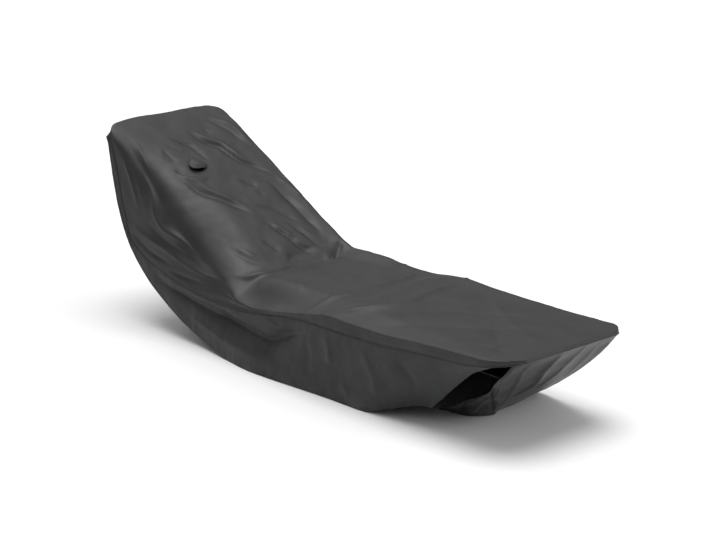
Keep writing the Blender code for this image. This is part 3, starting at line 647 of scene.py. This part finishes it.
def finished(grid, edges, hull=None):
    """A panel with its edges finished, and the lines of its stitches. edges names the
    finish of each: seam, felled, hem or free. hull marks the rows whose last column is a
    felled seam though the rest of it is a hem."""
    for edge, finish in edges.items():
        lines = SEAM_LINES if finish in ("seam", "felled") else HEM_LINES
        grid = turned_back(refined(oriented(grid, edge), lines), edge)
        if hull is not None and edge in ("first_row", "last_row"):
            if edge == "first_row":
                hull = np.concatenate([[hull[0]] * len(lines), hull[1:]])
            else:
                hull = np.concatenate([hull[:-1], [hull[-1]] * len(lines)])
    relief = np.zeros(grid.shape[:2])
    for edge, finish in edges.items():
        facing = oriented(grid, edge)
        distance = runs(facing)
        if finish in ("seam", "felled"):
            height = seam_relief(distance, finish == "felled")
        else:
            height = hem_relief(distance)
        if hull is not None and edge == "last_column":
            height = np.where(hull[:, None], seam_relief(distance, True), height)
        relief += turned_back(height + puckers(facing, distance), edge)
    grid = outward(grid, relief)
    normal = normals(grid)
    threads = []
    for edge, finish in edges.items():
        if finish == "seam":
            continue
        facing, outer = oriented(grid, edge), oriented(normal, edge)
        if finish == "felled":
            columns, kept = [SEAM_LINES.index(line) for line in SEAM_STITCHES], slice(None)
        else:
            columns, kept = [HEM_LINES.index(HEM)], slice(None)
        if hull is not None and edge == "last_column":
            felled = [HEM_LINES.index(line) for line in SEAM_STITCHES]
            threads += [(facing[hull, column], outer[hull, column]) for column in felled]
            kept = ~hull
        threads += [(facing[kept, column], outer[kept, column]) for column in columns]
    for edge, finish in edges.items():
        if finish in ("hem", "free"):
            radius = HEM_RADIUS if finish == "hem" else FREE_RADIUS
            folded = turned_under(oriented(grid, edge), oriented(normal, edge), radius)
            grid, normal = (turned_back(array, edge) for array in folded)
    return grid, threads


def sheet_object(name, grid, materials, cut=None):
    """A sheet with the points of a grid, its flat measures in metres as its UV map, the
    thickness of the cloth and its coated inner side. cut says which points lie in a hole
    and moves those around it to its edge."""
    rows, columns = grid.shape[:2]
    middle = columns // 2
    u = np.repeat(runs(grid[:, middle][None])[0][:, None], columns, axis=1)
    v = runs(grid)
    v = v - v[:, middle:middle + 1]
    index = np.arange(rows * columns).reshape(rows, columns)
    corners = (index[:-1, :-1], index[1:, :-1], index[1:, 1:], index[:-1, 1:])
    quads = np.stack(corners, axis=-1).reshape(-1, 4)
    points = grid.reshape(-1, 3)
    if cut is not None:
        inside = cut(points) < 1
        gone = inside[quads].all(axis=1)
        rim = np.intersect1d(quads[gone], quads[~gone])
        points = points.copy()
        points[rim] = on_hole_edge(points[rim], cut)
        quads = quads[~gone]
    used, quads = np.unique(quads, return_inverse=True)
    quads = quads.reshape(-1, 4)
    mesh = bpy.data.meshes.new(name)
    mesh.from_pydata(points[used].tolist(), [], quads.tolist())
    flat = np.stack([u, v], axis=-1).reshape(-1, 2)[used]
    layer = mesh.uv_layers.new(name="flat")
    layer.data.foreach_set("uv", flat[quads.ravel()].astype(np.float32).ravel())
    mesh.shade_smooth()
    for material in materials:
        mesh.materials.append(material)
    piece = bpy.data.objects.new(name, mesh)
    bpy.context.scene.collection.objects.link(piece)
    solid = piece.modifiers.new("thickness", "SOLIDIFY")
    solid.thickness = THICK
    solid.offset = 0
    solid.material_offset = len(materials) - 1
    return piece


def top_rise(s):
    """How much the top rises over SLOPE_STEP at this distance from the foot."""
    return section("top", s + SLOPE_STEP / 2) - section("top", s - SLOPE_STEP / 2)


def vent_offset(points):
    """Distances of points from the vent's centre, along its span and its depth."""
    s = station_of(points) - VENT_CENTRE[0]
    y = across_of(points) - VENT_CENTRE[1]
    s = s / math.cos(math.atan2(top_rise(VENT_CENTRE[0]), SLOPE_STEP))
    turn_cos, turn_sin = math.cos(VENT_FACING), math.sin(VENT_FACING)
    return s * turn_sin - y * turn_cos, s * turn_cos + y * turn_sin


def vent_hole(points):
    """Below 1 inside the round hole under the hood."""
    span, depth = vent_offset(points)
    far = np.abs(points[:, 2] - section("top", VENT_CENTRE[0])) > VENT_HALF_SPAN
    return np.hypot(span / VENT_HOLE, depth / VENT_HOLE) + far


def on_hole_edge(points, cut):
    """Points near the edge of the hole moved onto it, straight from its centre."""
    centre = to_world(*VENT_CENTRE, section("top", VENT_CENTRE[0]))
    return centre + (points - centre) / cut(points)[:, None]


def vent_grid():
    """The hood: a deep bill that rises from its sewn edge to a lip that stands free, with a
    flat border sewn to the cloth uphill of it."""
    lip_lines, out_lines, border_lines = VENT_LINES
    angles = np.linspace(VENT_BARE_ENDS, math.pi - VENT_BARE_ENDS, lip_lines)
    out = np.linspace(0, 1, out_lines)
    angle, out = np.meshgrid(angles, out, indexing="ij")
    bulge = np.sin(angle) ** VENT_BLUNT
    lean = 1 + VENT_SKEW * np.cos(angle)
    span = VENT_HALF_SPAN * np.cos(angle)
    depth = bulge * (out * VENT_FRONT * lean - (1 - out) * VENT_BACK)
    rise = bulge * VENT_RISE * through(out, *VENT_PROFILE)
    border = np.linspace(VENT_FLANGE, 0, border_lines)[:-1]
    sewn = np.stack([span[:, 0], depth[:, 0] - VENT_HALF_SPAN / 3], axis=1)
    sewn = unit(sewn)[:, None] * border[:, None]
    span = np.concatenate([span[:, :1] + sewn[..., 0], span], axis=1)
    depth = np.concatenate([depth[:, :1] + sewn[..., 1], depth], axis=1) + VENT_CHORD
    rise = np.concatenate([np.full((len(angles), len(border)), THICK - VENT_STAND), rise], axis=1)
    turn_cos, turn_sin = math.cos(VENT_FACING), math.sin(VENT_FACING)
    s = VENT_CENTRE[0] - depth * turn_cos + span * turn_sin
    y = VENT_CENTRE[1] - depth * turn_sin - span * turn_cos
    tilt = np.arctan(top_rise(s) / SLOPE_STEP)
    height = VENT_STAND + rise
    return to_world(s - height * np.sin(tilt), y, section("top", s) + height * np.cos(tilt))


def along_line(places, way, values):
    """Values at these places on a line, given at the distances in way."""
    return np.stack([np.interp(places, way, axis) for axis in values.T], axis=1)


def thread_object(name, lines, material):
    """Rows of stitches as one mesh: each a short thread with two sunk tips."""
    points, faces = [], []
    ring = ((1, 0), (0, 1), (-1, 0), (0, -1))
    for line, normal in lines:
        way = runs(line[None])[0]
        if way[-1] < 2 * STITCH_PITCH:
            continue
        places = np.arange(STITCH_PITCH / 2, way[-1] - STITCH_LENGTH / 2, STITCH_PITCH)
        middle = along_line(places, way, line)
        up = unit(along_line(places, way, normal))
        ahead = along_line(places + STITCH_LENGTH / 2, way, line)
        along = unit(ahead - along_line(places - STITCH_LENGTH / 2, way, line))
        across = np.cross(along, up)
        surface = middle + up * THICK / 2
        tips = [surface + along * end * STITCH_LENGTH / 2 - up * THICK / 4 for end in (-1, 1)]
        rings = [
            surface + along * end * STITCH_LENGTH / 4 + up * STITCH_WIDTH / 4
            + (across * side + up * lift) * STITCH_WIDTH / 2
            for end in (-1, 1) for side, lift in ring
        ]
        block = np.stack([tips[0], *rings, tips[1]], axis=1)
        base = sum(len(part) for part in points) * STITCH_POINTS
        points.append(block)
        for k in range(len(block)):
            first = base + k * STITCH_POINTS
            for side in range(4):
                here, after = 1 + side, 1 + (side + 1) % 4
                faces.append((first, first + here, first + after))
                faces.append((first + here, first + here + 4, first + after + 4, first + after))
                faces.append((first + 9, first + after + 4, first + here + 4))
    mesh = bpy.data.meshes.new(name)
    mesh.from_pydata(np.concatenate(points).reshape(-1, 3).tolist(), [], faces)
    mesh.shade_smooth()
    mesh.materials.append(material)
    threads = bpy.data.objects.new(name, mesh)
    bpy.context.scene.collection.objects.link(threads)
    return threads


def mesh_lines():
    """Rows and columns of the top panel's mesh, and shares of the drop of the others."""
    over = np.linspace(SKIRT, 0, HUNG_STEPS + 1)[:-1]
    leg = np.arange(0, BACK_START, LEG_PITCH)
    rest = np.linspace(BACK_START, LENGTH, round((LENGTH - BACK_START) / BACK_PITCH) + 1)
    rows = np.concatenate([-over, leg, rest, LENGTH + over[::-1]])
    near = np.linspace(-HALF_WIDTH - SKIRT, -HALF_WIDTH, NEAR_HUNG_STEPS + 1)[:-1]
    middle = np.linspace(-HALF_WIDTH, HALF_WIDTH, round(2 * HALF_WIDTH / ACROSS_PITCH) + 1)
    far = np.linspace(HALF_WIDTH, HALF_WIDTH + SKIRT, FAR_HUNG_STEPS + 1)[1:]
    return rows, np.concatenate([near, middle, far]), np.linspace(0, 1, DROP_STEPS + 1)


# ---- materials
def new_material(name):
    material = bpy.data.materials.new(name)
    material.use_nodes = True
    tree = material.node_tree
    return material, tree, tree.nodes["Principled BSDF"]


def add(tree, kind, inputs, output=0, **settings):
    """A node with its settings and inputs, each a value or another node's output."""
    node = tree.nodes.new(kind)
    for name, value in settings.items():
        setattr(node, name, value)
    for key, value in inputs.items():
        if isinstance(value, bpy.types.NodeSocket):
            tree.links.new(value, node.inputs[key])
        else:
            node.inputs[key].default_value = value
    return node.outputs[output]


def maths(tree, operation, first, second=0.0):
    return add(tree, "ShaderNodeMath", {0: first, 1: second}, operation=operation)


def grain(tree, place, scale, detail=4.0, roughness=0.55, distortion=0.0):
    inputs = {"Vector": place, "Scale": scale, "Detail": detail}
    inputs.update({"Roughness": roughness, "Distortion": distortion})
    return add(tree, "ShaderNodeTexNoise", inputs)


def blend(tree, share, first, second):
    return add(tree, "ShaderNodeMix", {0: share, 6: first, 7: second}, output=2, data_type="RGBA")


def spread(tree, value, low, high, to_low, to_high):
    inputs = {"Value": value, "From Min": low, "From Max": high, "To Min": to_low, "To Max": to_high}
    return add(tree, "ShaderNodeMapRange", inputs)


def bump(tree, height, distance, strength, below=None):
    inputs = {"Height": height, "Distance": distance, "Strength": strength}
    if below is not None:
        inputs["Normal"] = below
    return add(tree, "ShaderNodeBump", inputs)


def weave(tree, flat):
    """Height of a plain weave: yarns that pass over each other in turn."""
    axes = tree.nodes.new("ShaderNodeSeparateXYZ")
    tree.links.new(flat, axes.inputs[0])
    waves = []
    for axis in axes.outputs[:2]:
        angle = maths(tree, "MULTIPLY", axis, math.pi / YARN)
        waves.append(maths(tree, "ABSOLUTE", maths(tree, "SINE", angle)))
    over = []
    for wave, other in (waves, waves[::-1]):
        over.append(maths(tree, "MULTIPLY", wave, maths(tree, "POWER", other, YARN_ROUND)))
    turn = add(tree, "ShaderNodeTexChecker", {"Vector": flat, "Scale": 1 / YARN}, output=1)
    inputs = {0: turn, 2: over[0], 3: over[1]}
    return add(tree, "ShaderNodeMix", inputs, data_type="FLOAT")


def cloth_material():
    material, tree, shader = new_material("coated_polyester")
    flat = add(tree, "ShaderNodeUVMap", {}, uv_map="flat")
    place = tree.nodes.new("ShaderNodeTexCoord").outputs["Object"]
    height = add(tree, "ShaderNodeSeparateXYZ", {0: place}, output=2)

    mottle = grain(tree, place, MOTTLE_SCALE)
    slubs = grain(tree, flat, SLUB_SCALE, 2.0)
    colour = blend(tree, spread(tree, mottle, *NOISE_MIDDLE, 0.0, 1.0), CLOTH_DARK, CLOTH_LIGHT)
    colour = blend(tree, spread(tree, slubs, *NOISE_MIDDLE, 0.0, SLUB_SHARE), colour, CLOTH_LIGHT)
    # the cloth turns paler in patches towards the floor
    low = spread(tree, height, 0.0, PALE_LOW_HEIGHT, PALE_LOW_SHARE, 0.0)
    patches = spread(tree, grain(tree, place, PALE_LOW_SCALE), 0.42, 0.70, 0.0, 1.0)
    pale_low = maths(tree, "MULTIPLY", low, patches)
    colour = blend(tree, pale_low, colour, PALE_LOW_TONE)
    tree.links.new(colour, shader.inputs["Base Color"])

    rough = spread(tree, grain(tree, place, SHINE_SCALE, 5.0), 0.3, 0.7, *CLOTH_ROUGHNESS)
    tree.links.new(rough, shader.inputs["Roughness"])
    shader.inputs["IOR"].default_value = CLOTH_IOR
    shader.inputs["Sheen Weight"].default_value = SHEEN
    shader.inputs["Sheen Roughness"].default_value = SHEEN_ROUGHNESS

    uneven = grain(tree, place, SOFT_SCALE, 5.0, 0.5, 0.6)
    soft = bump(tree, uneven, SOFT_DEPTH, SOFT_STRENGTH)
    inputs = {"Vector": place, "Scale": CREASE_WARP, "Detail": 3.0}
    shift = add(tree, "ShaderNodeTexNoise", inputs, output=1)
    warped = add(tree, "ShaderNodeVectorMath", {0: place, 1: shift}, operation="ADD")
    inputs = {"Vector": warped, "Scale": CREASE_SCALE}
    cells = add(tree, "ShaderNodeTexVoronoi", inputs, feature="DISTANCE_TO_EDGE")
    lines = spread(tree, cells, 0.0, CREASE_WIDTH, 0.0, 1.0)
    creases = bump(tree, lines, CREASE_DEPTH, CREASE_STRENGTH, soft)
    woven = bump(tree, weave(tree, flat), YARN_DEPTH, WEAVE_STRENGTH, creases)
    tree.links.new(woven, shader.inputs["Normal"])
    return material


def coating_material():
    material, tree, shader = new_material("dark_coating")
    place = tree.nodes.new("ShaderNodeTexCoord").outputs["Object"]
    mottle = grain(tree, place, COATING_SCALE)
    darker = tuple(0.6 * value for value in COATING[:3]) + (1,)
    colour = blend(tree, spread(tree, mottle, *NOISE_MIDDLE, 0.0, 1.0), darker, COATING)
    tree.links.new(colour, shader.inputs["Base Color"])
    tree.links.new(spread(tree, mottle, 0.3, 0.7, 0.5, 0.65), shader.inputs["Roughness"])
    gritty = bump(tree, grain(tree, place, COATING_GRIT), 0.001, 0.3)
    tree.links.new(gritty, shader.inputs["Normal"])
    return material


def thread_material():
    material, tree, shader = new_material("sewing_thread")
    place = tree.nodes.new("ShaderNodeTexCoord").outputs["Object"]
    twist = grain(tree, place, 900.0, 2.0)
    darker = tuple(0.7 * value for value in THREAD[:3]) + (1,)
    tree.links.new(blend(tree, twist, darker, THREAD), shader.inputs["Base Color"])
    tree.links.new(spread(tree, twist, 0.3, 0.7, 0.45, 0.65), shader.inputs["Roughness"])
    return material


# ---- build
cloth, coating, thread = cloth_material(), coating_material(), thread_material()
rows, across, drop = mesh_lines()
top, stations = top_grid(rows, across)
near, near_edge = side_grid(top, stations, rows, drop, -1)
far, far_edge = side_grid(top, stations, rows, drop, 1)
end = end_grid(top, far[0].copy(), across, drop)
back = back_grid(top, near, far, near_edge, far_edge)

SIDE_EDGES = {"first_column": "seam", "last_column": "hem"}
panels = (
    ("cover_top", "top_panel", top, None,
     dict.fromkeys(("first_row", "last_row", "first_column", "last_column"), "felled")),
    ("cover_side_near", "side_panel_near", near, near_edge > BACK_END,
     {"first_row": "free", "last_row": "seam", **SIDE_EDGES}),
    ("cover_side_far", "side_panel_far", far[::-1], far_edge[::-1] > BACK_END,
     {"first_row": "seam", "last_row": "seam", **SIDE_EDGES}),
    ("cover_foot_end", "foot_end_panel", end, None,
     {"first_row": "seam", "first_column": "seam", "last_row": "free", "last_column": "hem"}),
    ("cover_head_back", "head_back_panel", back[:, ::-1], None,
     {"first_row": "seam", "first_column": "seam", "last_column": "seam", "last_row": "hem"}),
    ("cover_vent_hood", "vent_hood", vent_grid(), None, {"last_column": "hem"}),
)
for name, node, grid, hull, edges in panels:
    grid, lines = finished(grid, edges, hull)
    cut = vent_hole if node == "top_panel" else None
    piece = sheet_object(name, grid, (cloth, coating), cut)
    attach(piece, "root")
    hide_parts(node)
    sewn = []
    if lines:
        sewn = [thread_object(name + "_stitches", lines, thread)]
        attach(sewn[0], "root")

# ---- floor, light, camera
bpy.ops.mesh.primitive_plane_add(size=60, location=(0, 0, -0.0005))
floor = bpy.context.object
floor.name = "floor"
floor_material, _, floor_shader = new_material("floor_paint")
floor_shader.inputs["Base Color"].default_value = FLOOR_GREY
floor_shader.inputs["Roughness"].default_value = FLOOR_ROUGHNESS
floor.data.materials.append(floor_material)

world = bpy.data.worlds.new("studio")
world.use_nodes = True
sky_tree = world.node_tree
sky = sky_tree.nodes["Background"]
direction = sky_tree.nodes.new("ShaderNodeTexCoord").outputs["Generated"]
rise = add(sky_tree, "ShaderNodeSeparateXYZ", {0: direction}, output=2)
sky_tree.links.new(spread(sky_tree, rise, *SKY_RISE, *SKY_STRENGTH), sky.inputs["Strength"])
sky.inputs["Color"].default_value = (1, 1, 1, 1)
bpy.context.scene.world = world


def aimed(data, name, place, target):
    piece = bpy.data.objects.new(name, data)
    piece.location = place
    piece.rotation_euler = (Vector(target) - Vector(place)).to_track_quat("-Z", "Y").to_euler()
    bpy.context.scene.collection.objects.link(piece)
    return piece


for name, strength, place in SUNS:
    light = bpy.data.lights.new(name, "SUN")
    light.energy = strength
    light.angle = SUN_WIDTH
    aimed(light, name, place, (0, 0, 0))

camera_data = bpy.data.cameras.new("camera")
camera_data.lens = FOCAL_PIXELS / IMAGE_WIDTH * camera_data.sensor_width
toward = Vector((
    math.sin(AZIMUTH) * math.cos(ELEVATION),
    -math.cos(AZIMUTH) * math.cos(ELEVATION),
    math.sin(ELEVATION),
))
bpy.context.scene.camera = aimed(camera_data, "camera", Vector(TARGET) + toward * DISTANCE, TARGET)
bpy.context.scene.view_settings.view_transform = "Standard"
